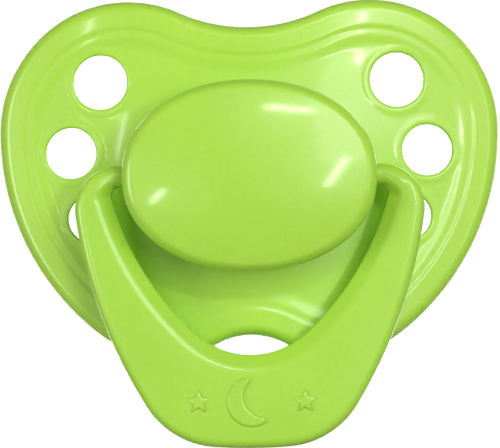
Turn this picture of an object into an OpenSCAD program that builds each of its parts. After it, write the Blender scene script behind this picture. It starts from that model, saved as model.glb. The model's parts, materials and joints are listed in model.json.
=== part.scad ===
// Pacifier with a butterfly shield, an oval front cover and a drop ring, all sizes in millimetres.
// +Z is up towards the nose, -Y is the front and +Y goes into the mouth along the teat.
// The origin is on the teat's axis, at the middle of the shield's mouth-side face.

/* [Shield] */
// Height of the nose notch above the teat's axis
notch_z = 13.8; // [13.2:0.1:14.4]
// Radius of the nose notch
notch_r = 15.1; // [14:0.1:16]
// Angle that each half of the nose notch turns through
notch_turn = 24.8; // [24:0.1:25.5]
// Radius of the upper lobes
lobe_r = 12.1; // [11.6:0.1:12.6]
// Radius of the long sides
side_r = 23.4; // [22.5:0.1:24.5]
// Angle that each long side turns through
side_turn = 53.9; // [52:0.1:56]
// Radius of the chin lobes
chin_r = 10.2; // [9.6:0.1:10.6]
// Angle that each chin lobe turns through
chin_turn = 64.5; // [62:0.1:66]
// Radius that the shield wraps round the face with
wrap_r = 55; // [45:1:80]
// Thickness of the plate
plate_t = 2.2; // [1.8:0.1:2.4]
// Width of the raised rim
rim_w = 2.2; // [1.6:0.1:2.8]
// Thickness at the raised rim
rim_t = 2.9; // [2.5:0.1:2.95]

/* [Vent holes] */
// Distance of the upper, middle and lower vents from the middle
vent_x = [13.7, 16.5, 14.7]; // [13.5:0.1:16.8]
// Height of the upper, middle and lower vents
vent_z = [8.8, 2.3, -3.8]; // [-4.2:0.1:9.2]
// Radius of the upper, middle and lower vents
vent_r = [2.5, 2.35, 2.1]; // [1.8:0.05:2.6]

/* [Pedestal and hinge] */
// Half width of the oval pedestal
pedestal_a = 10.7; // [10.4:0.1:10.8]
// Half height of the oval pedestal
pedestal_b = 7.6; // [7.4:0.1:7.8]
// Distance of the hinge axis in front of the shield's mouth side
hinge_y = 4.4; // [4.3:0.05:4.5]
// Radius of the hinge pins
pin_r = 0.9; // [0.7:0.05:0.95]
// Radial clearance of a pin in its bore
pin_gap = 0.05; // [0.03:0.01:0.08]
// Length of a pin inside its bore
pin_len = 2.7; // [2:0.1:2.8]

/* [Cover] */
// Half width of the oval cover
cover_a = 11.55; // [11.4:0.05:11.6]
// Half height of the oval cover
cover_b = 8.65; // [8.4:0.05:8.8]
// Squareness of the ovals, 2 being an ellipse
oval_power = 2.1; // [2:0.05:2.3]
// Height of the cover's straight side
cover_side = 0.9; // [0.7:0.1:1.2]
// Height of the cover's rounded edge
cover_edge = 1.1; // [0.8:0.1:1.3]
// Width of the rounded edge as a share of the cover
edge_share = 0.09; // [0.08:0.01:0.16]
// Rise of the dome above the rounded edge
cover_dome = 1.5; // [1:0.1:1.8]
// Wall thickness of the cover
cover_wall = 1.1; // [0.9:0.1:1.2]

/* [Ring] */
// Thickness of the ring from front to back
ring_t = 2.7; // [2.4:0.1:2.7]
// Distance from the middle at which the hinge stubs become the flat ring
ring_start = 11.9; // [11.9:0.1:12]
// Radius of the round stub beside the pin
stub_r = 1.0; // [0.96:0.01:1.1]
// Outer radius of the elbow
elbow_r = 4.0; // [3.8:0.1:4.2]
// Angle that the outside of the elbow turns through
elbow_turn = 98; // [97:0.5:99]
// Outer radius of the long arm
arm_r = 45; // [42:1:48]
// Angle that the outside of the arm turns through
arm_turn = 23.6; // [23:0.1:24]
// Radius of the ring's lower corners
corner_r = 8.0; // [7.6:0.1:8.4]
// Angle that each lower corner turns through
corner_turn = 54; // [50:1:56]
// Radius inside the elbow
crook_r = 0.7; // [0.6:0.1:0.9]
// Angle that the inside of the elbow turns through
crook_turn = 104.7; // [104:0.1:105.5]
// Radius of the inside of the arm
inner_r = 26; // [25:0.5:27]
// Angle that the inside of the arm turns through
inner_turn = 32; // [31:0.5:33]
// Height of the raised moon and stars on the ring
relief_h = 0.25; // [0.1:0.05:0.4]

/* [Teat] */
// Length of the teat behind the shield
teat_len = 27; // [24:0.5:29]
// Outer radius of the teat's neck
neck_r = 4.9; // [4.5:0.1:4.9]
// Wall thickness of the teat
teat_wall = 1.5; // [1.3:0.1:1.6]
// Half width of the bulb
bulb_a = 7.6; // [7:0.1:8.5]
// Half height of the bulb
bulb_b = 5.9; // [5.2:0.1:6.5]
// Rise of the bulb's middle above the axis
bulb_rise = 1.2; // [0:0.1:2]
// Radius of the flange that lies in the shield's back
flange_r = 7.6; // [7.2:0.1:8]
// Radius of the bead that hooks over the front of the plate
bead_r = 6.2; // [5.8:0.1:6.3]

/* [Plug] */
// Radius of the plug's head
head_r = 6.5; // [6.3:0.1:6.7]
// Thickness of the plug's head
head_t = 1.2; // [1:0.1:1.5]
// Radius of the plug's stem
stem_r = 3.3; // [3.1:0.05:3.35]
// Radius of the cover's peg
peg_r = 1.6; // [1.4:0.1:2]

/* [Hidden] */
$fn = 96;
arc_step = 5;        // degrees between the points of an arc
fine_fn = 360;       // facets of the large wrap cylinders
far = 60;            // reach of the cutting shapes
plastic = [0.67, 0.86, 0.34];
silicone = [0.93, 0.88, 0.72];

shield_arcs = [
    [notch_r, notch_turn],
    [lobe_r, -90 - notch_turn],
    [side_r, -side_turn],
    [chin_r, -chin_turn],
];
outer_arcs = [[elbow_r, -elbow_turn], [arm_r, -arm_turn], [corner_r, -corner_turn]];
inner_arcs = [[crook_r, -crook_turn], [inner_r, -inner_turn]];

pedestal_y = hinge_y + pin_r + pin_gap + 0.55;   // front face of the pedestal
hole_r = neck_r + 0.1;                           // hole that the teat's neck passes
seat_y = 0.6;                                    // depth of the flange's seat in the back
flange_t = 1.0;
bead_t = 1.0;
bead_y = plate_t + bead_t;                       // front of the teat's bead
well_r = head_r + 0.35;                          // round well inside the pedestal
stem_len = 4.4;
peg_len = 3.6;
ceiling = 1.2;                                   // thickness of the cover's face
bore_len = pin_len + 0.15;
stub_gap = 0.25;                                 // space between stub and pedestal
teat_sides = 32;
oval_sides = 60;
teat_steps = 14;                                 // stations along the bulb

// Points of a run of tangent arcs, each [radius, turn], with a left turn positive.
// It starts at p heading h degrees, and each arc goes on from where the last one ends.
function run(p, h, arcs, i = 0) =
    i == len(arcs) ? [p] :
    let(r = arcs[i][0] * sign(arcs[i][1]), t = arcs[i][1], n = ceil(abs(t) / arc_step))
    let(c = p + r * [-sin(h), cos(h)])
    let(q = [for (k = [0 : n]) c + r * [sin(h + t * k / n), -cos(h + t * k / n)]])
    concat([for (k = [0 : n - 1]) q[k]], run(q[n], h + t, arcs, i + 1));

// The same run, started heading along +X, with one more arc that brings it to the middle line.
function half_outline(p, arcs) =
    let(h = [for (a = arcs) 1] * [for (a = arcs) a[1]])
    let(pts = run(p, 0, arcs), e = pts[len(pts) - 1])
    let(last = [abs(e[0] / sin(h)), -180 - h])
    run(p, 0, concat(arcs, [last]));

// A half outline and its mirror image, as one open path.
function whole(half) = concat(half, [for (i = [len(half) - 2 : -1 : 0]) [-half[i][0], half[i][1]]]);
function reversed(pts) = [for (i = [len(pts) - 1 : -1 : 0]) pts[i]];

// The shield's outline, moved inwards by d.
function shield_outline(d = 0) =
    let(arcs = [for (a = shield_arcs) [a[0] + sign(a[1]) * d, a[1]]])
    let(pts = whole(half_outline([0, notch_z - d], arcs)))
    [for (i = [0 : len(pts) - 2]) pts[i]];

// A superellipse with half axes a and b.
function oval(a, b, power = oval_power, sides = oval_sides) = [
    for (i = [0 : sides - 1])
        let(c = cos(360 * i / sides), s = sin(360 * i / sides))
        [a * sign(c) * pow(abs(c), 2 / power), b * sign(s) * pow(abs(s), 2 / power)]
];

// A solid skinned over loops of equal length, listed from front to back.
module skin(loops) {
    n = len(loops[0]);
    m = len(loops);
    sides = [
        for (j = [0 : m - 2])
            for (i = [0 : n - 1])
                [j * n + i, j * n + (i + 1) % n, (j + 1) * n + (i + 1) % n, (j + 1) * n + i]
    ];
    front = [for (i = [n - 1 : -1 : 0]) i];
    back = [for (i = [0 : n - 1]) (m - 1) * n + i];
    polyhedron([for (l = loops) each l], concat(sides, [front, back]));
}

// An oval loop in the plane y, with its middle raised by z.
function loop_at(y, a, b, z = 0, power = oval_power, sides = oval_sides) =
    [for (p = oval(a, b, power, sides)) [p[0], y, p[1] + z]];

// Extrudes a flat XZ shape forwards, from y = -back to y = -front.
module forwards(back, front) {
    translate([0, -back, 0]) rotate([90, 0, 0]) linear_extrude(front - back) children();
}

// A round bar or hole along Y, from y = -back to y = -front.
module round_y(r, back, front) {
    translate([0, -back, 0]) rotate([90, 0, 0]) cylinder(r = r, h = front - back);
}

// A round bar along X from x = x0 to x = x1, on the hinge axis.
module round_x(r, x0, x1) {
    translate([x0, -hinge_y, 0]) rotate([0, 90, 0]) cylinder(r = r, h = x1 - x0);
}

module both_sides() {
    children();
    mirror([1, 0, 0]) children();
}

// A slab of thickness t that wraps round the face, its back touching y = 0.
module wrapped_slab(t) {
    translate([0, wrap_r, -far / 2]) difference() {
        cylinder(r = wrap_r + t, h = far, $fn = fine_fn);
        translate([0, 0, -1]) cylinder(r = wrap_r, h = far + 2, $fn = fine_fn);
    }
}

module wrapped_plate(outline, t) {
    intersection() {
        forwards(-far / 4, far / 4) polygon(outline);
        wrapped_slab(t);
    }
}

module vents() {
    for (i = [0 : len(vent_x) - 1])
        both_sides() translate([vent_x[i], 0, vent_z[i]]) round_y(vent_r[i], -far / 4, far / 4);
}

module shield() {
    color(plastic) difference() {
        union() {
            wrapped_plate(shield_outline(), plate_t);
            difference() {
                wrapped_plate(shield_outline(), rim_t);
                forwards(-far / 4, far / 4) polygon(shield_outline(rim_w));
            }
            forwards(plate_t / 2, pedestal_y) polygon(oval(pedestal_a, pedestal_b));
        }
        vents();
        round_y(hole_r, -far / 4, far / 4);
        round_y(flange_r + 0.1, -far / 4, seat_y);
        round_y(well_r, plate_t, far / 4);
        both_sides() round_x(pin_r + pin_gap, pedestal_a - bore_len, pedestal_a + 1);
    }
}

// Outer size of the bulb at share t of its length: it swells from the neck, then closes.
function swell(t, neck, bulb) =
    let(u = min(1, t / 0.6), v = max(0, (t - 0.6) / 0.4))
    (neck + (bulb - neck) * (1 - cos(180 * u)) / 2) * sqrt(max(0, 1 - pow(v, 2.2)));

// Loops of the bulb's skin, drawn in by d, from the neck's end at y0 to the tip.
function bulb_loops(d, y0) = [
    for (k = [0 : teat_steps])
        let(t = sin(90 * k / (teat_steps + 1)), y = y0 + (teat_len - d - y0) * t)
        let(a = swell(t, neck_r - d, bulb_a - d), b = swell(t, neck_r - d, bulb_b - d))
        loop_at(y, a, b, bulb_rise * t, 2, teat_sides)
];

function round_loop(y, r) = loop_at(y, r, r, 0, 2, teat_sides);

module teat() {
    root_y = 5;
    color(silicone) difference() {
        skin(concat([
            round_loop(-bead_y, bead_r),
            round_loop(-plate_t, bead_r),
            round_loop(-plate_t, neck_r),
            round_loop(-seat_y, neck_r),
            round_loop(-seat_y, flange_r),
            round_loop(-seat_y + flange_t, flange_r),
            round_loop(-seat_y + flange_t + 0.4, neck_r + 0.6),
        ], bulb_loops(0, root_y)));
        skin(concat([round_loop(-bead_y - 1, neck_r - teat_wall)], bulb_loops(teat_wall, root_y)));
    }
}

module teat_plug() {
    color(plastic) rotate([90, 0, 0]) rotate_extrude() polygon([
        [0, bead_y - stem_len],
        [stem_r - 0.5, bead_y - stem_len],
        [stem_r, bead_y - stem_len + 0.7],
        [stem_r, bead_y],
        [head_r, bead_y],
        [head_r, bead_y + head_t],
        [peg_r, bead_y + head_t],
        [peg_r, bead_y + head_t - peg_len],
        [0, bead_y + head_t - peg_len],
    ]);
}

// Distance of the cover's face in front of its underside, at share s of the way out to its side.
function cover_face(s) =
    let(e = max(0, (s - 1 + edge_share) / edge_share))
    cover_side + cover_edge * sqrt(1 - e * e) + cover_dome * (1 - s * s);

// Shares at which the cover's face is cut: close together on the rounded edge.
function cover_shares() = concat(
    [for (k = [2, 4, 6, 8, 10]) k / 12],
    [for (k = [0 : 4]) 1 - edge_share * (1 - sin(22.5 * k))]
);

module cover() {
    under = pedestal_y;
    inner_a = cover_a - cover_wall;
    inner_b = cover_b - cover_wall;
    color(plastic) {
        difference() {
            skin(concat(
                [for (s = cover_shares()) loop_at(-under - cover_face(s), cover_a * s, cover_b * s)],
                [loop_at(-under, cover_a, cover_b)]
            ));
            skin(concat(
                [for (s = [0.3, 0.6, 0.85]) loop_at(-under - cover_face(s) + ceiling, inner_a * s, inner_b * s)],
                [loop_at(-under + 1, inner_a, inner_b)]
            ));
        }
        round_y(peg_r, bead_y + head_t - peg_len + 0.3, under + cover_face(0) - ceiling / 2);
    }
}

module star(r) {
    points = 5;
    waist = 0.5;
    polygon([
        for (i = [0 : 2 * points - 1])
            let(q = (i % 2 == 0 ? 1 : waist) * r, a = 90 + 180 * i / points)
            q * [cos(a), sin(a)]
    ]);
}

// A crescent moon between two stars.
module moon_and_stars(size) {
    difference() {
        circle(size);
        translate([size * 0.5, size * 0.2]) circle(size * 0.8);
    }
    both_sides() translate([size * 2.1, 0]) star(size * 0.5);
}

module ring_handle() {
    outer = whole(half_outline([ring_start, stub_r], outer_arcs));
    inner = whole(half_outline([ring_start, -stub_r], inner_arcs));
    front = hinge_y + ring_t / 2;
    stub_x = pedestal_a + stub_gap;
    relief_z = -20.5;
    moon_r = 2.3;
    color(plastic) {
        forwards(front - ring_t, front) polygon(concat(outer, reversed(inner)));
        both_sides() {
            round_x(stub_r, stub_x, ring_start + 0.5);
            round_x(pin_r, pedestal_a - pin_len, stub_x + 0.1);
        }
        translate([0, 0, relief_z]) forwards(front - 0.1, front + relief_h) moon_and_stars(moon_r);
    }
}

shield();
teat();
teat_plug();
cover();
ring_handle();
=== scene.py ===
import json
import math

import bmesh
import bpy
import numpy as np
from mathutils import Matrix, Vector, geometry

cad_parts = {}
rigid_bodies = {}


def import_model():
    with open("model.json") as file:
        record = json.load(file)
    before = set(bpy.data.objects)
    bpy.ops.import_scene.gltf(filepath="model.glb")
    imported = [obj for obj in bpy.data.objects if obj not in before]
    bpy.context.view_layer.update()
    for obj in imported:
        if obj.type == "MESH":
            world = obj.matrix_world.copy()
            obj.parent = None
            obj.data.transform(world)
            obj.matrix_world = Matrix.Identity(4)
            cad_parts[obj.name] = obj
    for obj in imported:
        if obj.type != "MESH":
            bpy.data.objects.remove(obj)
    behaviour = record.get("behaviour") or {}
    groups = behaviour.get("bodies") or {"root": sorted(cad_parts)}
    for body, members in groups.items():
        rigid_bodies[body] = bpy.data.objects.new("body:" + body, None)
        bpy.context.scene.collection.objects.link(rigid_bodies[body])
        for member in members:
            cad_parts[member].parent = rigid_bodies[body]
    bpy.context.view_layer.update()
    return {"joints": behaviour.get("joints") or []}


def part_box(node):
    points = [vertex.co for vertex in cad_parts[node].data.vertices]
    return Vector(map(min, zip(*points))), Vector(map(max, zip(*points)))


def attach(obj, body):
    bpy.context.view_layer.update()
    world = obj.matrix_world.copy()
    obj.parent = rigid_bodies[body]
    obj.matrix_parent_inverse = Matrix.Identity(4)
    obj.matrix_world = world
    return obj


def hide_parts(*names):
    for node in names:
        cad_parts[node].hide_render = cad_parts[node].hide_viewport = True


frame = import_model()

# Looks of the pacifier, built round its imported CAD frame.
# The frame's units are metres. Shapes are worked out in millimetres, as in the CAD, and scaled by MM.
# +Z is up towards the nose, -Y is the front and +Y goes into the mouth.
MM = 0.001

# ---------------------------------------------------------------- sizes, in millimetres
# The shield's outline: the nose notch's height, then tangent arcs as (radius, turn in degrees).
NOTCH_Z = 13.8
SHIELD_ARCS = ((15.1, 24.8), (12.1, -114.8), (23.4, -53.9), (10.2, -64.5))
WRAP_R = 55.0
OUTLINE_SPACING = 0.42
# Insets are distances inside the outline, and heights are over the shield's curved back.
# The edge starts at one height and rolls up to a crest, given as (inset, height).
EDGE_H = 1.1
CREST = (1.15, 2.8)
# Inside the crest the shield gets thinner in two steps, as (inset at start, inset at end, drop).
RIM_STEPS = ((2.3, 2.85, 0.11), (3.2, 4.4, 0.19))
# The band of loops along the edge is this wide, and stays clear of the vents' collars.
RIM_W = 3.5
BACK_ROUND = 0.7
# A soft skirt rises towards the pedestal; it fades in between two insets.
SKIRT_H = 0.3
SKIRT_W = 6.0
SKIRT_IN = (2.8, 6.5)
# How far apart the points inside the shield's front and back lie.
FRONT_SPACING = 0.3
BACK_SPACING = 0.9
# Vents on the right, as (across, up, radius); the left ones mirror them.
VENTS = ((13.7, 8.8, 2.5), (16.5, 2.3, 2.35), (14.7, -3.8, 2.1))
# Each has rounded lips and, in front, a low raised collar, whose slope ends short of the lip.
VENT_LIP = 0.28
VENT_BACK_LIP = 0.3
COLLAR_W = 0.62
COLLAR_H = 0.06
COLLAR_SLOPE = 1.4
# The oval pedestal under the cover, the round well in it, the neck's hole and the flange's seat.
PEDESTAL = (10.7, 7.6)
PEDESTAL_Y = -5.9
PEDESTAL_FILLET = 0.6
PEDESTAL_ROUND = 0.25
WELL_R = 6.85
WELL_Y = -2.2
NECK_HOLE_R = 5.0
SEAT_R = 7.7
SEAT_Y = -0.6
# The cover is an oval dome; EDGE_SHARE is the part of its half width that the rounded edge takes.
OVAL_POWER = 2.1
COVER = (11.55, 8.65)
COVER_SIDE = 0.9
COVER_EDGE = 1.1
COVER_DOME = 1.5
COVER_UNDER_ROUND = 0.3
EDGE_SHARE = 0.09
COVER_WALL = 1.1
COVER_CEILING = 1.2
PEG_R = 1.6
PEG_END_Y = -1.1
# The ring's pin and stub, and the room that the pin has round it and past its end in its bore.
PIN_R = 0.9
PIN_GAP = 0.05
BORE_SPARE = 0.15
PIN_INNER_X = 8.0
STUB_R = 1.0
STUB_INNER_X = 10.95
# The ring's outside and inside, as tangent arcs from the hinge stub to the middle, with the steps
# that each arc takes. Both runs have the same number of steps, so that their points pair up.
RING_START = 11.9
OUTER_ARCS = ((4.0, -98.0), (45.0, -23.6), (8.0, -54.0))
OUTER_STEPS = (26, 40, 22, 10)
INNER_ARCS = ((0.7, -104.7), (26.0, -32.0))
INNER_STEPS = (26, 40, 32)
# The round stub turns into the ring's section over this many steps.
STUB_BLEND_STEPS = 16
# The section's usual width, and the width below which its bevel and rounds shrink.
RING_W = 4.4
RING_SLIM_W = 3.4
BEVEL = (1.3, 0.9)
BEVEL_ROUNDS = (0.3, 1.5)
OUTER_ROUND = 0.9
RING_BACK_ROUND = 0.55
RING_CROWN = 0.05
# The raised moon and stars. The moon's bite is a circle, as (radius, across, up) in the moon's radii,
# and MOON_TIP is how much of each sharp tip is cut off.
RELIEF_Z = -20.5
MOON_R = 2.3
MOON_BITE = (0.8, 0.5, 0.2)
MOON_TIP = 0.9
STAR_R = 0.5 * MOON_R
STAR_X = 2.1 * MOON_R
STAR_WAIST = 0.5
RELIEF_H = 0.2
RELIEF_ROUND = 0.26
# The teat. Its bulb has two half sizes, is widest at a share of its length, and then closes bluntly.
TEAT_LEN = 27.0
TEAT_WALL = 1.5
NECK_R = 4.9
ROOT_Y = 5.0
ROOT_FILLET = 1.3
BULB = (7.6, 5.9)
BULB_RISE = 1.2
BULB_WIDEST = 0.6
BULB_CLOSE = 2.2
FLANGE_R = 7.6
FLANGE_T = 1.0
FLANGE_LIP = 0.3
BEAD_R = 6.2
BEAD_Y = -3.2
# The plug in the teat's neck.
HEAD_R = 6.5
HEAD_T = 1.2
SOCKET_LEN = 3.6
SOCKET_GAP = 0.02
STEM_R = 3.3
STEM_END_Y = 1.2
# The teat's flange and bead stand this far off the shield's faces, so that the two never share a face.
CONTACT_GAP = 0.03

hinge = frame["joints"][0]
HINGE_Y = hinge["pos_m"][1] / MM
RING_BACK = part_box("ring_handle")[1].y / MM
RING_FRONT = 2 * HINGE_Y - RING_BACK
RING_T = RING_BACK - RING_FRONT

SHELL_BODY = hinge["parent"]
RING_BODY = hinge["child"]


# ---------------------------------------------------------------- outlines
def arc_run(start, arcs, steps):
    """Points of tangent arcs that start along +X; each arc is (radius, turn), with left turns positive."""
    point = np.array(start, float)
    heading = 0.0
    points = [point]
    for (radius, turn), count in zip(arcs, steps):
        r = radius * np.sign(turn)
        a = np.radians(heading)
        centre = point + r * np.array([-np.sin(a), np.cos(a)])
        for k in range(1, count + 1):
            b = np.radians(heading + turn * k / count)
            points.append(centre + r * np.array([np.sin(b), -np.cos(b)]))
        point = points[-1]
        heading += turn
    return np.array(points)


def half_outline(start, arcs, steps):
    """The same run with one more arc, which brings it to the middle line."""
    heading = sum(turn for _, turn in arcs)
    end = arc_run(start, arcs, steps[:-1])[-1]
    last = (abs(end[0] / math.sin(math.radians(heading))), -180 - heading)
    return arc_run(start, (*arcs, last), steps)


def mirrored(half):
    """The half outline's mirror image, from the middle line back to the start."""
    return (half * [-1, 1])[-2::-1]


def steps_for(arcs, spacing):
    """How many steps each arc takes to keep its points about that far apart."""
    return [max(2, round(r * math.radians(abs(t)) / spacing)) for r, t in arcs]


# The last number is for the arc that brings the outline to the middle line.
SHIELD_STEPS = [*steps_for(SHIELD_ARCS, OUTLINE_SPACING), 8]


def shield_outline(inset=0.0):
    """The shield's whole outline, moved in by the inset."""
    arcs = tuple((r + math.copysign(inset, t), t) for r, t in SHIELD_ARCS)
    half = half_outline((0, NOTCH_Z - inset), arcs, SHIELD_STEPS)
    return np.vstack([half, mirrored(half)[:-1]])


def oval(a, b, sides, power=OVAL_POWER):
    """A superellipse with half sizes a and b; a power of 2 makes a plain ellipse."""
    t = np.arange(sides) * 2 * np.pi / sides
    c, s = np.cos(t), np.sin(t)
    return np.column_stack([
        a * np.sign(c) * np.abs(c) ** (2 / power),
        b * np.sign(s) * np.abs(s) ** (2 / power),
    ])


def circle(r, sides, centre=(0.0, 0.0)):
    return oval(r, r, sides, 2) + centre


def ease(t):
    """A smooth step from 0 at t = 0 to 1 at t = 1."""
    t = np.clip(t, 0, 1)
    return t * t * (3 - 2 * t)


# ---------------------------------------------------------------- mesh making
class Shell:
    """A mesh made from loops of points that are bridged, filled and capped."""

    def __init__(self):
        self.points = []
        self.faces = []

    def loop(self, xz, y):
        """Adds a loop of (x, z) points and returns its indices; y is one depth or one for each point."""
        first = len(self.points)
        y = np.broadcast_to(y, len(xz))
        self.points.extend((p[0], q, p[1]) for p, q in zip(xz, y))
        return np.arange(first, len(self.points))

    def loop3(self, points):
        """Adds a loop of (x, y, z) points and returns its indices."""
        first = len(self.points)
        self.points.extend(tuple(p) for p in points)
        return np.arange(first, len(self.points))

    def bridge(self, a, b):
        """Joins two loops with a band of four-sided faces."""
        n = len(a)
        for i in range(n):
            j = (i + 1) % n
            self.faces.append((a[i], a[j], b[j], b[i]))

    def chain(self, loops):
        for a, b in zip(loops, loops[1:]):
            self.bridge(a, b)

    def cap(self, loop):
        """Closes a loop with a fan round its middle."""
        middle = np.mean([self.points[i] for i in loop], axis=0)
        centre = len(self.points)
        self.points.append(tuple(middle))
        n = len(loop)
        self.faces.extend((loop[i], loop[(i + 1) % n], centre) for i in range(n))

    def fill(self, outer, holes, spacing, depth):
        """Fills between an outer loop and holes with triangles; depth(points) gives the new points' y."""
        loops = [outer, *holes]
        rims = [np.array([self.points[i] for i in loop])[:, [0, 2]] for loop in loops]
        low, high = rims[0].min(0), rims[0].max(0)
        rows = np.arange(low[1], high[1], spacing * math.sqrt(3) / 2)
        grid = np.array([
            (x + (k % 2) * spacing / 2, z)
            for k, z in enumerate(rows)
            for x in np.arange(low[0], high[0], spacing)
        ])
        keep = inside(grid, rims[0])
        for rim in rims[1:]:
            keep &= ~inside(grid, rim)
        edge = np.vstack(rims)
        clearance = 0.6 * spacing
        for i in np.flatnonzero(keep):
            keep[i] = np.min(np.sum((edge - grid[i]) ** 2, axis=1)) > clearance ** 2
        grid = grid[keep]
        flat = [Vector(p) for p in np.vstack([edge, grid])]
        edges = []
        for rim in rims:
            ids = list(range(len(edges), len(edges) + len(rim)))
            edges += zip(ids, ids[1:] + ids[:1])
        around = list(range(len(outer)))
        result = geometry.delaunay_2d_cdt(flat, edges, [around], 1, 1e-7)
        corners, _, triangles, origins = result[:4]
        known = np.concatenate(loops)
        depths = depth(np.array([tuple(corner) for corner in corners]))
        ids = []
        for corner, origin, y in zip(corners, origins, depths):
            if origin and origin[0] < len(known):
                ids.append(known[origin[0]])
            else:
                ids.append(len(self.points))
                self.points.append((corner.x, y, corner.y))
        centres = np.array([np.mean([corners[i] for i in face], axis=0) for face in triangles])
        wanted = inside(centres, rims[0])
        for rim in rims[1:]:
            wanted &= ~inside(centres, rim)
        self.faces.extend(tuple(ids[i] for i in face) for face, want in zip(triangles, wanted) if want)

    def build(self, name):
        """Makes the object, smooth shaded and in metres."""
        mesh = bpy.data.meshes.new(name)
        mesh.from_pydata([tuple(c * MM for c in p) for p in self.points], [], self.faces)
        work = bmesh.new()
        work.from_mesh(mesh)
        bmesh.ops.recalc_face_normals(work, faces=work.faces)
        work.to_mesh(mesh)
        work.free()
        mesh.shade_smooth()
        piece = bpy.data.objects.new(name, mesh)
        bpy.context.scene.collection.objects.link(piece)
        return piece


def evaluated_mesh(shape):
    """A new mesh of the object as its modifiers or its curve's settings make it."""
    view = bpy.context.evaluated_depsgraph_get()
    return bpy.data.meshes.new_from_object(shape.evaluated_get(view))


def inside(points, rim):
    """Which of the points lie inside the closed rim, by the even-odd rule."""
    x, z = points[:, 0], points[:, 1]
    odd = np.zeros(len(points), bool)
    for (x0, z0), (x1, z1) in zip(rim, np.roll(rim, -1, axis=0)):
        if z0 != z1:
            crosses = (z0 > z) != (z1 > z)
            odd ^= crosses & (x < x0 + (z - z0) * (x1 - x0) / (z1 - z0))
    return odd


# ---------------------------------------------------------------- the shield
def wrapped(x, height):
    """Depth of a point that stands that high over the shield's curved back."""
    return WRAP_R - np.sqrt((WRAP_R + height) ** 2 - np.asarray(x) ** 2)


def inset_of(points):
    """How far inside the shield's outline each (x, z) point lies."""
    starts = shield_outline()
    along = np.roll(starts, -1, axis=0) - starts
    offset = points[:, None] - starts
    share = np.clip(np.sum(offset * along, axis=2) / np.sum(along ** 2, axis=1), 0, 1)
    return np.sqrt(np.min(np.sum((offset - share[..., None] * along) ** 2, axis=2), axis=1))


def skirt(points):
    """Rise of the plateau towards the pedestal."""
    s = np.sum(np.abs(points / PEDESTAL) ** OVAL_POWER, axis=1) ** (1 / OVAL_POWER)
    gap = np.linalg.norm(points, axis=1) * (1 - 1 / s)
    return SKIRT_H * (1 - ease(gap / SKIRT_W))


def front_depth(points, inset=None):
    """Depth of the shield's front at (x, z) points, which lie that far inside the outline."""
    d = inset_of(points) if inset is None else inset
    height = EDGE_H + (CREST[1] - EDGE_H) * np.sqrt(1 - np.clip(1 - d / CREST[0], 0, 1) ** 2)
    for near, far, drop in RIM_STEPS:
        height = height - drop * ease((d - near) / (far - near))
    height = height + skirt(points) * ease((d - SKIRT_IN[0]) / (SKIRT_IN[1] - SKIRT_IN[0]))
    return wrapped(points[:, 0], height)


def add_rim(shell):
    """Adds the band along the shield's edge, RIM_W wide on both faces; returns its front and back loops."""
    loops = []
    for inset in np.linspace(RIM_W, BACK_ROUND, 6):
        outline = shield_outline(inset)
        loops.append(shell.loop(outline, wrapped(outline[:, 0], 0)))
    for a in np.linspace(0, math.pi / 2, 7)[1:]:
        outline = shield_outline(BACK_ROUND * (1 - math.sin(a)))
        loops.append(shell.loop(outline, wrapped(outline[:, 0], BACK_ROUND * (1 - math.cos(a)))))
    roll = CREST[0] * (1 - np.cos(np.linspace(0, math.pi / 2, 15)))
    for inset in [*roll, *np.linspace(CREST[0], RIM_W, 26)[1:]]:
        outline = shield_outline(inset)
        loops.append(shell.loop(outline, front_depth(outline, inset)))
    shell.chain(loops)
    return loops[-1], loops[0]


def add_vent(shell, x, z, r):
    """Adds one vent's collar, rounded lips and wall; returns its front and back loops."""
    sides = 56
    loops = []
    for share in np.linspace(0, 1, 6)[:-1]:
        ring = circle(r + VENT_LIP + COLLAR_W * (1 - share), sides, (x, z))
        loops.append(shell.loop(ring, front_depth(ring) - COLLAR_H * ease(COLLAR_SLOPE * share)))
    for a in np.linspace(0, math.pi / 2, 8):
        ring = circle(r + VENT_LIP * (1 - math.sin(a)), sides, (x, z))
        loops.append(shell.loop(ring, front_depth(ring) - COLLAR_H + VENT_LIP * (1 - math.cos(a))))
    for a in np.linspace(math.pi / 2, 0, 5):
        ring = circle(r + VENT_BACK_LIP * (1 - math.sin(a)), sides, (x, z))
        loops.append(shell.loop(ring, wrapped(ring[:, 0], 0) - VENT_BACK_LIP * (1 - math.cos(a))))
    shell.chain(loops)
    return loops[0], loops[-1]


def add_pedestal(shell):
    """Adds the pedestal's wall, the well inside it and the neck's hole; returns its front and back loops."""
    sides = 144
    a, b = PEDESTAL
    loops = []
    for t in np.linspace(0, math.pi / 2, 7):
        out = PEDESTAL_FILLET * (1 - math.sin(t))
        ring = oval(a + out, b + out, sides)
        loops.append(shell.loop(ring, front_depth(ring) - PEDESTAL_FILLET * (1 - math.cos(t))))
    for t in np.linspace(0, math.pi / 2, 5):
        cut = PEDESTAL_ROUND * (1 - math.cos(t))
        y = PEDESTAL_Y + PEDESTAL_ROUND * (1 - math.sin(t))
        loops.append(shell.loop(oval(a - cut, b - cut, sides), y))
    for r, y in (
        (WELL_R + 0.15, PEDESTAL_Y),
        (WELL_R, PEDESTAL_Y + 0.15),
        (WELL_R, WELL_Y - 0.05),
        (WELL_R - 0.05, WELL_Y),
        (NECK_HOLE_R + 0.1, WELL_Y),
        (NECK_HOLE_R, WELL_Y + 0.1),
        (NECK_HOLE_R, SEAT_Y - 0.1),
        (NECK_HOLE_R + 0.1, SEAT_Y),
        (SEAT_R - 0.05, SEAT_Y),
        (SEAT_R, SEAT_Y + 0.05),
    ):
        loops.append(shell.loop(circle(r, sides), y))
    for lip in (0.15, 0.04, 0.0):
        ring = circle(SEAT_R + 0.15 - lip, sides)
        loops.append(shell.loop(ring, wrapped(ring[:, 0], 0) - lip))
    shell.chain(loops)
    return loops[0], loops[-1]


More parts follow.
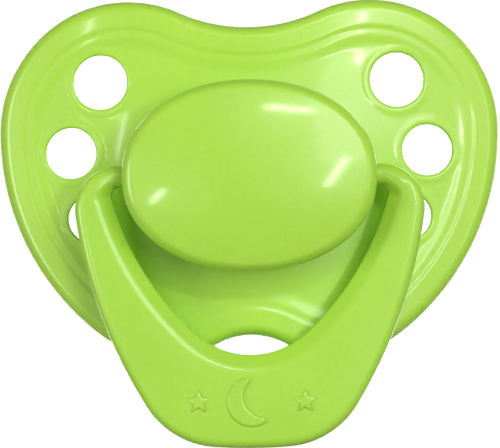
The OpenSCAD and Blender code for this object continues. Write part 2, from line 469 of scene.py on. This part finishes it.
def cut_bores(piece):
    """Cuts the two blind bores that the ring's pins turn in, with cylinders that start outside the wall."""
    cutter = Shell()
    sides = 40
    section = circle(PIN_R + PIN_GAP, sides, (HINGE_Y, 0))
    for side in (1, -1):
        ends = [
            cutter.loop3(np.column_stack([np.full(sides, side * x), section]))
            for x in (PIN_INNER_X - BORE_SPARE, PEDESTAL[0] + BORE_SPARE)
        ]
        cutter.bridge(*ends)
        for end in ends:
            cutter.cap(end)
    tool = cutter.build("bore_cutter")
    bores = piece.modifiers.new("bores", "BOOLEAN")
    bores.operation = "DIFFERENCE"
    bores.object = tool
    piece.data = evaluated_mesh(piece)
    piece.modifiers.clear()
    bpy.data.objects.remove(tool)
    sharp_edge = math.radians(50)
    piece.data.set_sharp_from_angle(angle=sharp_edge)


def make_shield():
    shell = Shell()
    front_rim, back_rim = add_rim(shell)
    fronts, backs = [], []
    for x, z, r in VENTS:
        for side in (1, -1):
            front, back = add_vent(shell, side * x, z, r)
            fronts.append(front)
            backs.append(back)
    front, back = add_pedestal(shell)
    shell.fill(front_rim, [*fronts, front], FRONT_SPACING, front_depth)
    shell.fill(back_rim, [*backs, back], BACK_SPACING, lambda points: wrapped(points[:, 0], 0))
    piece = shell.build("shield_moulding")
    cut_bores(piece)
    return piece


# ---------------------------------------------------------------- the cover
def cover_face(s):
    """Height of the cover's face over its underside, at share s of the way out."""
    e = np.clip((s - 1 + EDGE_SHARE) / EDGE_SHARE, 0, 1)
    return COVER_SIDE + COVER_EDGE * np.sqrt(1 - e * e) + COVER_DOME * (1 - s * s)


def make_cover():
    shell = Shell()
    sides = 160
    a, b = COVER
    under = PEDESTAL_Y
    loops = []
    for s in np.linspace(0.03, 1 - EDGE_SHARE, 22)[:-1]:
        loops.append(shell.loop(oval(a * s, b * s, sides), under - cover_face(s)))
    shell.cap(loops[0])
    for t in np.linspace(0, math.pi / 2, 16):
        s = 1 - EDGE_SHARE * (1 - math.sin(t))
        loops.append(shell.loop(oval(a * s, b * s, sides), under - cover_face(s)))
    for t in np.linspace(0, math.pi / 2, 6):
        cut = COVER_UNDER_ROUND * (1 - math.cos(t))
        y = under - COVER_UNDER_ROUND * (1 - math.sin(t))
        loops.append(shell.loop(oval(a - cut, b - cut, sides), y))
    a, b = a - COVER_WALL, b - COVER_WALL
    loops.append(shell.loop(oval(a, b, sides), under))
    loops.append(shell.loop(oval(a - 0.1, b - 0.1, sides), under - 0.6))
    for s in (0.85, 0.6, 0.4):
        loops.append(shell.loop(oval(a * s, b * s, sides), under - cover_face(s) + COVER_CEILING))
    ceiling_y = under - cover_face(0.2) + COVER_CEILING
    loops.append(shell.loop(circle(PEG_R + 0.3, sides), ceiling_y))
    loops.append(shell.loop(circle(PEG_R, sides), ceiling_y + 0.3))
    loops.append(shell.loop(circle(PEG_R, sides), PEG_END_Y - 0.2))
    loops.append(shell.loop(circle(PEG_R - 0.2, sides), PEG_END_Y))
    shell.cap(loops[-1])
    shell.chain(loops)
    return shell.build("cover_moulding")


# ---------------------------------------------------------------- the ring
def filleted(corners, radii, round_steps, edge_steps):
    """The closed polygon with its corners rounded; corners and edges have a fixed number of points."""
    corners = np.array(corners, float)
    arcs = []
    for before, corner, after, r in zip(np.roll(corners, 1, 0), corners, np.roll(corners, -1, 0), radii):
        u = (before - corner) / np.linalg.norm(before - corner)
        v = (after - corner) / np.linalg.norm(after - corner)
        half = math.acos(u @ v) / 2
        centre = corner + (u + v) / np.linalg.norm(u + v) * r / math.sin(half)
        first = corner + u * r / math.tan(half) - centre
        last = corner + v * r / math.tan(half) - centre
        sweep = math.pi - 2 * half
        a = np.linspace(0, sweep, round_steps + 1)[:, None]
        arcs.append(centre + (first * np.sin(sweep - a) + last * np.sin(a)) / math.sin(sweep))
    points = []
    for arc, following in zip(arcs, arcs[1:] + arcs[:1]):
        share = np.linspace(0, 1, edge_steps + 1)[1:-1, None]
        points += [arc, arc[-1] + (following[0] - arc[-1]) * share]
    return np.vstack(points)


def ring_section(width, thick):
    """The ring's section as (distance from its inside, height over its back)."""
    squeeze = min(1, width / RING_SLIM_W)
    bevel_w, bevel_h = BEVEL[0] * squeeze, BEVEL[1] * squeeze
    corners = [(0, 0), (0, thick - bevel_h), (bevel_w, thick), (width, thick), (width, 0)]
    radii = [RING_BACK_ROUND, *BEVEL_ROUNDS, OUTER_ROUND, RING_BACK_ROUND]
    section = filleted(corners, [r * squeeze for r in radii], 8, 6)
    middle = (bevel_w + width - OUTER_ROUND) / 2
    section[:, 1] *= 1 - RING_CROWN * ((section[:, 0] - middle) / (width / 2)) ** 2
    return section


def round_section(width, thick):
    """A round section whose points lie at the same angles as the ring's."""
    usual = ring_section(RING_W, RING_T) - [RING_W / 2, RING_T / 2]
    angle = np.arctan2(usual[:, 1], usual[:, 0])
    return np.column_stack([np.cos(angle) + 1, np.sin(angle) + 1]) * [width / 2, thick / 2]


def ring_stations():
    """The right half's sections, each as (its inside point, its outside point, thickness, squareness)."""
    outer = half_outline((RING_START, STUB_R), OUTER_ARCS, OUTER_STEPS)
    inner = half_outline((RING_START, -STUB_R), INNER_ARCS, INNER_STEPS)
    stations = []
    for x, r in (
        (PIN_INNER_X, PIN_R - 0.2),
        (PIN_INNER_X + 0.2, PIN_R),
        (STUB_INNER_X - 0.02, PIN_R),
        (STUB_INNER_X, STUB_R - 0.1),
        (STUB_INNER_X + 0.1, STUB_R),
        (STUB_INNER_X + 0.5, STUB_R),
    ):
        stations.append(((x, -r), (x, r), 2 * r, 0.0))
    for k, (near, far) in enumerate(zip(inner, outer)):
        square = float(ease(k / STUB_BLEND_STEPS))
        stations.append((near, far, 2 * STUB_R + (RING_T - 2 * STUB_R) * square, square))
    return stations


def make_ring():
    shell = Shell()
    loops = []
    for near, far, thick, square in ring_stations():
        near, far = np.array(near), np.array(far)
        width = np.linalg.norm(far - near)
        section = round_section(width, thick) * (1 - square) + ring_section(width, thick) * square
        across = near + (far - near) * section[:, :1] / width
        depth = HINGE_Y + thick / 2 - section[:, 1]
        loops.append(np.column_stack([across[:, 0], depth, across[:, 1]]))
    other_side = [loop * [-1, 1, 1] for loop in loops[-2::-1]]
    rings = [shell.loop3(loop) for loop in loops + other_side]
    shell.chain(rings)
    shell.cap(rings[0])
    shell.cap(rings[-1])
    return shell.build("ring_moulding")


def star_points(r, centre):
    points = 5
    angles = math.pi / 2 + np.arange(2 * points) * math.pi / points
    radii = np.where(np.arange(2 * points) % 2 == 0, r, r * STAR_WAIST)
    return np.column_stack([radii * np.cos(angles), radii * np.sin(angles)]) + centre


def moon_points(r):
    """A crescent with blunt tips: the outer circle's arc, then the biting circle's arc back."""
    bite_r, bite_x, bite_z = (share * r for share in MOON_BITE)
    gap = math.hypot(bite_x, bite_z)
    middle = math.atan2(bite_z, bite_x)
    half = math.acos((r * r + gap * gap - bite_r ** 2) / (2 * r * gap))
    half_bite = math.acos((bite_r ** 2 + gap * gap - r * r) / (2 * bite_r * gap))
    half += MOON_TIP / r
    half_bite -= MOON_TIP / bite_r
    outer = np.linspace(middle + half, middle + 2 * math.pi - half, 48)
    inner = np.linspace(middle + math.pi + half_bite, middle + math.pi - half_bite, 32)
    return np.vstack([
        r * np.column_stack([np.cos(outer), np.sin(outer)]),
        bite_r * np.column_stack([np.cos(inner), np.sin(inner)]) + [bite_x, bite_z],
    ])


def relief(name, points):
    """A flat shape raised from the ring's front, with softened edges."""
    curve = bpy.data.curves.new(name, "CURVE")
    curve.dimensions = "2D"
    curve.fill_mode = "BOTH"
    curve.bevel_depth = RELIEF_ROUND * MM
    curve.bevel_resolution = 5
    curve.offset = -RELIEF_ROUND * MM
    spline = curve.splines.new("POLY")
    spline.points.add(len(points) - 1)
    for p, (x, z) in zip(spline.points, points):
        p.co = (x * MM, z * MM, 0, 1)
    spline.use_cyclic_u = True
    shape = bpy.data.objects.new(name, curve)
    bpy.context.scene.collection.objects.link(shape)
    shape.rotation_euler = (math.pi / 2, 0, 0)
    shape.location = (0, (RING_FRONT + RELIEF_ROUND - RELIEF_H) * MM, RELIEF_Z * MM)
    bpy.context.view_layer.update()
    mesh = evaluated_mesh(shape)
    mesh.transform(shape.matrix_world)
    bpy.data.objects.remove(shape)
    piece = bpy.data.objects.new(name, mesh)
    bpy.context.scene.collection.objects.link(piece)
    return piece


# ---------------------------------------------------------------- the teat and its plug
def swell(t, neck, bulb):
    """Half size of the teat at share t of its bulb: it swells from the neck, then closes."""
    u = min(1, t / BULB_WIDEST)
    v = max(0, (t - BULB_WIDEST) / (1 - BULB_WIDEST))
    open_size = neck + (bulb - neck) * (1 - math.cos(math.pi * u)) / 2
    return open_size * math.sqrt(max(0, 1 - v ** BULB_CLOSE))


def bulb_loops(shell, inset, sides):
    """Adds the bulb's loops from its root to just short of its tip, moved in by the inset."""
    loops = []
    for t in np.sin(np.linspace(0, math.pi / 2, 46)[:-1]):
        y = ROOT_Y + (TEAT_LEN - inset - ROOT_Y) * t
        a, b = (swell(t, NECK_R - inset, size - inset) for size in BULB)
        loops.append(shell.loop(oval(a, b, sides, 2) + [0, BULB_RISE * t], y))
    return loops


def make_teat():
    shell = Shell()
    sides = 96
    flange_y = SEAT_Y + FLANGE_T
    inner_neck = shell.loop(circle(NECK_R - TEAT_WALL, sides), BEAD_Y + 0.1)
    profile = [
        (NECK_R - TEAT_WALL + 0.1, BEAD_Y),
        (BEAD_R - 0.4, BEAD_Y),
        (BEAD_R, BEAD_Y + 0.35),
        (BEAD_R, WELL_Y - 0.1),
        (BEAD_R - 0.1, WELL_Y - CONTACT_GAP),
        (NECK_R, WELL_Y - CONTACT_GAP),
        (NECK_R, SEAT_Y + CONTACT_GAP),
        (FLANGE_R - 0.1, SEAT_Y + CONTACT_GAP),
        (FLANGE_R, SEAT_Y + 0.1),
        (FLANGE_R, flange_y - FLANGE_LIP),
    ]
    profile += [
        (FLANGE_R - FLANGE_LIP * (1 - math.cos(a)), flange_y - FLANGE_LIP * (1 - math.sin(a)))
        for a in np.linspace(0, math.pi / 2, 6)[1:]
    ]
    profile += [
        (NECK_R + ROOT_FILLET * (1 - math.sin(a)), flange_y + ROOT_FILLET * (1 - math.cos(a)))
        for a in np.linspace(0, math.pi / 2, 10)
    ]
    outer = [shell.loop(circle(r, sides), y) for r, y in profile]
    outer += bulb_loops(shell, 0, sides)
    inner = bulb_loops(shell, TEAT_WALL, sides)
    shell.chain([inner_neck, *outer])
    shell.cap(outer[-1])
    shell.chain([inner_neck, *inner])
    shell.cap(inner[-1])
    return shell.build("teat_skin")


def make_plug():
    shell = Shell()
    sides = 96
    head_y = BEAD_Y - HEAD_T
    socket_r = PEG_R + SOCKET_GAP
    profile = [
        (socket_r, head_y + SOCKET_LEN),
        (socket_r, head_y + 0.2),
        (socket_r + 0.2, head_y),
        (HEAD_R - 0.3, head_y),
        (HEAD_R - 0.08, head_y + 0.08),
        (HEAD_R, head_y + 0.3),
        (HEAD_R, BEAD_Y - 0.2),
        (HEAD_R - 0.2, BEAD_Y),
        (STEM_R + 0.2, BEAD_Y),
        (STEM_R, BEAD_Y + 0.2),
        (STEM_R, STEM_END_Y - 0.7),
        (STEM_R - 0.5, STEM_END_Y),
    ]
    loops = [shell.loop(circle(r, sides), y) for r, y in profile]
    shell.chain(loops)
    shell.cap(loops[0])
    shell.cap(loops[-1])
    return shell.build("plug_moulding")


# ---------------------------------------------------------------- materials
# Each green as its deeper and its lighter colour. The shield has a lighter copy of the same green, which is
# painted light: it makes the shield look brighter than the cover and the ring.
GREEN = ((0.36, 0.65, 0.044), (0.4, 0.71, 0.062))
PAINTED_LIGHTER_GREEN = ((0.41, 0.72, 0.054), (0.45, 0.78, 0.072))
# The silicone's warmer and its paler colour.
SILICONE = ((0.95, 0.88, 0.68), (0.97, 0.92, 0.78))


def new_material(name):
    material = bpy.data.materials.new(name)
    material.use_nodes = True
    nodes = material.node_tree.nodes
    return material, nodes, material.node_tree.links, nodes["Principled BSDF"]


def noise(nodes, links, coords, scale, detail=3.0, roughness=0.5):
    """A noise pattern with that many cells to the metre; its values mostly lie between 0.3 and 0.7."""
    node = nodes.new("ShaderNodeTexNoise")
    node.inputs["Scale"].default_value = scale
    node.inputs["Detail"].default_value = detail
    node.inputs["Roughness"].default_value = roughness
    links.new(coords, node.inputs["Vector"])
    return node.outputs["Fac"]


def ranged(nodes, links, value, low, high):
    """Spreads a noise pattern's usual values from low to high."""
    node = nodes.new("ShaderNodeMapRange")
    node.inputs["From Min"].default_value = 0.3
    node.inputs["From Max"].default_value = 0.7
    node.inputs["To Min"].default_value = low
    node.inputs["To Max"].default_value = high
    links.new(value, node.inputs["Value"])
    return node.outputs["Result"]


def bumped(nodes, links, value, distance, strength, before=None):
    """A bump of that height in metres, on top of the bump before it."""
    node = nodes.new("ShaderNodeBump")
    node.inputs["Strength"].default_value = strength
    node.inputs["Distance"].default_value = distance
    links.new(value, node.inputs["Height"])
    if before is not None:
        links.new(before, node.inputs["Normal"])
    return node.outputs["Normal"]


def mixed(nodes, links, share, first, second):
    """A colour between two others: the first at share 0, the second at share 1."""
    node = nodes.new("ShaderNodeMix")
    node.data_type = "RGBA"
    node.inputs["A"].default_value = (*first, 1)
    node.inputs["B"].default_value = (*second, 1)
    links.new(share, node.inputs["Factor"])
    return node.outputs["Result"]


def plastic(name, deep, light):
    """Glossy dyed polypropylene: slightly cloudy colour, soft orange peel and fine scuffs."""
    material, nodes, links, shader = new_material(name)
    coords = nodes.new("ShaderNodeTexCoord").outputs["Object"]
    clouds = ranged(nodes, links, noise(nodes, links, coords, 120, 4, 0.6), 0, 0.5)
    specks = ranged(nodes, links, noise(nodes, links, coords, 2800, 3, 0.6), 0, 0.5)
    both = nodes.new("ShaderNodeMath")
    links.new(clouds, both.inputs[0])
    links.new(specks, both.inputs[1])
    links.new(mixed(nodes, links, both.outputs["Value"], deep, light), shader.inputs["Base Color"])
    patches = noise(nodes, links, coords, 420, 5, 0.65)
    links.new(ranged(nodes, links, patches, 0.31, 0.38), shader.inputs["Roughness"])
    peel = bumped(nodes, links, noise(nodes, links, coords, 700, 2), 0.00002, 0.25)
    grain = bumped(nodes, links, noise(nodes, links, coords, 5000, 2), 0.000005, 0.4, peel)
    links.new(grain, shader.inputs["Normal"])
    shader.inputs["IOR"].default_value = 1.49
    shader.inputs["Coat Weight"].default_value = 0.28
    shader.inputs["Coat Roughness"].default_value = 0.1
    shader.inputs["Subsurface Weight"].default_value = 0.12
    shader.inputs["Subsurface Radius"].default_value = (0.9, 1.0, 0.25)
    shader.inputs["Subsurface Scale"].default_value = 0.0008
    return material


def silicone(name):
    """Soft silicone with a warm tint: half clear and half milky, with a satin skin."""
    material, nodes, links, shader = new_material(name)
    coords = nodes.new("ShaderNodeTexCoord").outputs["Object"]
    clouds = ranged(nodes, links, noise(nodes, links, coords, 150, 3), 0, 1)
    links.new(mixed(nodes, links, clouds, *SILICONE), shader.inputs["Base Color"])
    haze = noise(nodes, links, coords, 250, 3)
    links.new(ranged(nodes, links, haze, 0.2, 0.27), shader.inputs["Roughness"])
    skin = bumped(nodes, links, noise(nodes, links, coords, 260, 2), 0.00004, 0.12)
    links.new(skin, shader.inputs["Normal"])
    shader.inputs["IOR"].default_value = 1.41
    shader.inputs["Transmission Weight"].default_value = 0.4
    shader.inputs["Subsurface Weight"].default_value = 0.5
    shader.inputs["Subsurface Radius"].default_value = (1.0, 0.85, 0.6)
    shader.inputs["Subsurface Scale"].default_value = 0.0008
    return material


def pale_paper(name):
    """White backdrop paper, with a little light of its own so that it stays pale."""
    material, nodes, links, shader = new_material(name)
    shader.inputs["Base Color"].default_value = (0.9, 0.9, 0.9, 1)
    shader.inputs["Roughness"].default_value = 0.9
    shader.inputs["Emission Color"].default_value = (1, 1, 1, 1)
    shader.inputs["Emission Strength"].default_value = 0.75
    return material


def dressed(piece, material, slot_name, body, *nodes):
    """Gives a piece its material and body, and hides the CAD nodes that it stands for. The slot name is not
    used.
    """
    piece.data.materials.clear()
    piece.data.materials.append(material)
    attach(piece, body)
    if nodes:
        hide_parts(*nodes)
    return piece


# ---------------------------------------------------------------- the studio
# The camera looks along +Y with a slight roll. Its focal length is in pixels of a picture PICTURE_W wide.
CAMERA_DISTANCE = 0.25
CAMERA_Z = -0.0044
CAMERA_ROLL = math.radians(0.6)
PICTURE_W = 500
FOCAL_PIXELS = 2697
# Each light as (name, its two ends as degrees to the right and up, width in metres, radiance).
LIGHT_DISTANCE = 0.5
LIGHTS = (
    ("lamp_top", (4, 30), (17, 27), 0.016, 62),
    ("lamp_right", (19.5, -3.5), (25, 7), 0.009, 100),
    ("lamp_left", (-25, -9), (-22, -4), 0.008, 100),
    ("lamp_wing", (-35, 3), (-33, 9), 0.008, 50),
    ("window", (17, 20), (44, 20), 0.26, 5.4),
    ("side_right", (60, -10), (60, 14), 0.12, 3.0),
    ("side_left", (-66, -16), (-66, 10), 0.14, 8.5),
    ("back", (145, 0), (215, 0), 0.4, 3.4),
)
# This lamp is flagged off the shield, whose hollow beside the ring's arm would catch it.
FLAGGED_LAMP = "lamp_left"
WORLD_FRONT = 0.36
WORLD_SIDES = 0.18


def add_camera():
    data = bpy.data.cameras.new("camera")
    data.sensor_fit = "HORIZONTAL"
    data.sensor_width = 36
    data.lens = FOCAL_PIXELS / PICTURE_W * data.sensor_width
    data.clip_start = 0.01
    data.clip_end = 20
    camera = bpy.data.objects.new("camera", data)
    bpy.context.scene.collection.objects.link(camera)
    camera.location = (0, -CAMERA_DISTANCE, CAMERA_Z)
    camera.rotation_euler = (math.pi / 2, CAMERA_ROLL, 0)
    bpy.context.scene.camera = camera


def towards(azimuth, elevation):
    """Unit vector to a place that many degrees to the viewer's right and up, as seen from the front."""
    a, e = math.radians(azimuth), math.radians(elevation)
    return Vector((math.sin(a) * math.cos(e), -math.cos(a) * math.cos(e), math.sin(e)))


def add_light(name, start, end, width, radiance):
    """An area light that faces the object; its long side runs from one direction to the other."""
    a, b = LIGHT_DISTANCE * towards(*start), LIGHT_DISTANCE * towards(*end)
    out = (a + b).normalized()
    long = (b - a).normalized()
    data = bpy.data.lights.new(name, "AREA")
    data.shape = "RECTANGLE"
    data.size = (b - a).length
    data.size_y = width
    data.energy = radiance * math.pi * data.size * data.size_y
    light = bpy.data.objects.new(name, data)
    bpy.context.scene.collection.objects.link(light)
    turn = Matrix((long, out.cross(long), out)).transposed()
    light.matrix_world = Matrix.Translation((a + b) / 2) @ turn.to_4x4()
    light.visible_camera = False


def flag_off(lamp, piece):
    """Keeps a lamp's light off one piece."""
    group = bpy.data.collections.new(f"{lamp.name}_flag")
    group.objects.link(piece)
    group.collection_objects[0].light_linking.link_state = "EXCLUDE"
    lamp.light_linking.receiver_collection = group


def add_backdrop():
    """A pale round floor that sweeps up into a wall all round; it casts no light on the object."""
    floor_z, floor_r, sweep, wall = -0.14, 0.75, 0.35, 0.8
    shell = Shell()
    sides = 96
    profile = [(0.05, 0.0), (floor_r, 0.0)]
    profile += [
        (floor_r + sweep * math.sin(a), sweep * (1 - math.cos(a)))
        for a in np.linspace(0, math.pi / 2, 16)[1:]
    ]
    profile.append((floor_r + sweep, wall))
    loops = []
    for r, z in profile:
        ring = circle(r / MM, sides)
        loops.append(shell.loop3(np.column_stack([ring, np.full(sides, (floor_z + z) / MM)])))
    shell.cap(loops[0])
    shell.chain(loops)
    backdrop = shell.build("backdrop")
    backdrop.data.materials.append(pale_paper("pale_paper"))
    backdrop.visible_diffuse = False
    backdrop.visible_glossy = False
    backdrop.visible_shadow = False


def add_world():
    """Soft white light that is strongest from the front and fades towards the sides and the back."""
    world = bpy.data.worlds.new("studio")
    world.use_nodes = True
    nodes, links = world.node_tree.nodes, world.node_tree.links
    coords = nodes.new("ShaderNodeTexCoord").outputs["Generated"]
    split = nodes.new("ShaderNodeSeparateXYZ")
    links.new(coords, split.inputs[0])
    fade = nodes.new("ShaderNodeMapRange")
    fade.interpolation_type = "SMOOTHSTEP"
    fade.inputs["From Min"].default_value = -0.2
    fade.inputs["From Max"].default_value = -0.8
    fade.inputs["To Min"].default_value = WORLD_SIDES
    fade.inputs["To Max"].default_value = WORLD_FRONT
    links.new(split.outputs["Y"], fade.inputs["Value"])
    background = nodes["Background"]
    background.inputs["Color"].default_value = (1, 1, 1, 1)
    links.new(fade.outputs["Result"], background.inputs["Strength"])
    bpy.context.scene.world = world


def light_studio():
    add_world()
    for light in LIGHTS:
        add_light(*light)
    bpy.context.scene.view_settings.view_transform = "Standard"


# ---------------------------------------------------------------- putting it together
green = plastic("green_plastic", *GREEN)
# A lighter copy of the same plastic for the shield: painted light, not a colour of its own.
painted_lighter_green = plastic("painted_lighter_green_plastic", *PAINTED_LIGHTER_GREEN)
clear = silicone("silicone")

# The shield wears the painted lighter copy of the green.
shield = dressed(make_shield(), painted_lighter_green, "green_plastic", SHELL_BODY, "shield")
dressed(make_cover(), green, "green_plastic", SHELL_BODY, "cover")
dressed(make_plug(), green, "green_plastic", SHELL_BODY, "teat_plug")
dressed(make_teat(), clear, "silicone", SHELL_BODY, "teat")
dressed(make_ring(), green, "green_plastic", RING_BODY, "ring_handle")
dressed(relief("ring_moon", moon_points(MOON_R)), green, "green_plastic", RING_BODY)
for side, label in ((1, "right"), (-1, "left")):
    star = relief(f"ring_star_{label}", star_points(STAR_R, (side * STAR_X, 0)))
    dressed(star, green, "green_plastic", RING_BODY)

add_backdrop()
light_studio()
flag_off(bpy.data.objects[FLAGGED_LAMP], shield)
add_camera()
